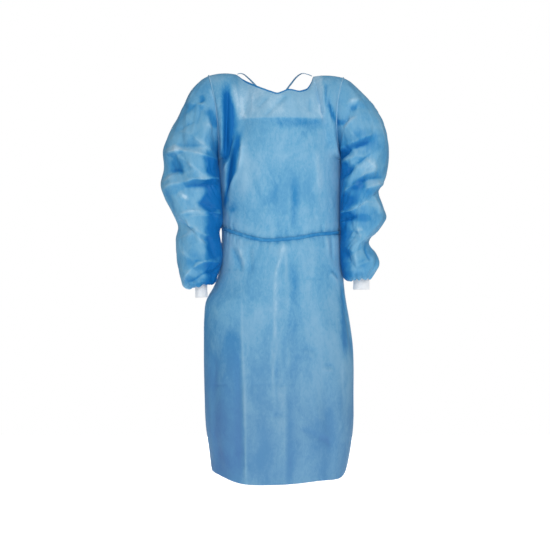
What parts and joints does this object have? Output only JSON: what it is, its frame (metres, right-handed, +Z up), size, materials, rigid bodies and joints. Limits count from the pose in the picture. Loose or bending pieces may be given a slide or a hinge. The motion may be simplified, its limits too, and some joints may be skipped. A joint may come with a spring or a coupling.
{
  "type": "visitor gown",
  "caption": "Thin blue overgown worn over clothes: a closed front, overlapping back panels tied behind, long sleeves with knitted cuffs.",
  "frame": {"origin": "midway between the two neck points at shoulder height, where the wearer's shoulders hold the gown up", "axes": "+Z up, +X to the wearer's left, the front faces -Y"},
  "size_m": [0.6384, 0.3112, 1.1469],
  "materials": {
    "coated_nonwoven_blue": "spunbonded nonwoven with a thin film coat, soft sheen",
    "tie_strip_blue": "folded strip of the same nonwoven, crumpled",
    "knitted_cuff_white": "fine rib knit, matte"
  },
  "bodies": {
    "root": {"front_panel": "coated_nonwoven_blue", "back_panel_left": "coated_nonwoven_blue", "back_panel_right": "coated_nonwoven_blue", "sleeve_left": "coated_nonwoven_blue", "sleeve_right": "coated_nonwoven_blue", "cuff_left": "knitted_cuff_white", "cuff_right": "knitted_cuff_white", "neck_binding": "tie_strip_blue", "neck_tie_left": "tie_strip_blue", "neck_tie_right": "tie_strip_blue", "neck_knot": "tie_strip_blue", "neck_loop_left": "tie_strip_blue", "neck_loop_right": "tie_strip_blue", "neck_end_left": "tie_strip_blue", "neck_end_right": "tie_strip_blue", "waist_tie": "tie_strip_blue", "waist_knot": "tie_strip_blue", "waist_loop_left": "tie_strip_blue", "waist_loop_right": "tie_strip_blue", "waist_end_left": "tie_strip_blue", "waist_end_right": "tie_strip_blue"}
  },
  "joints": []
}
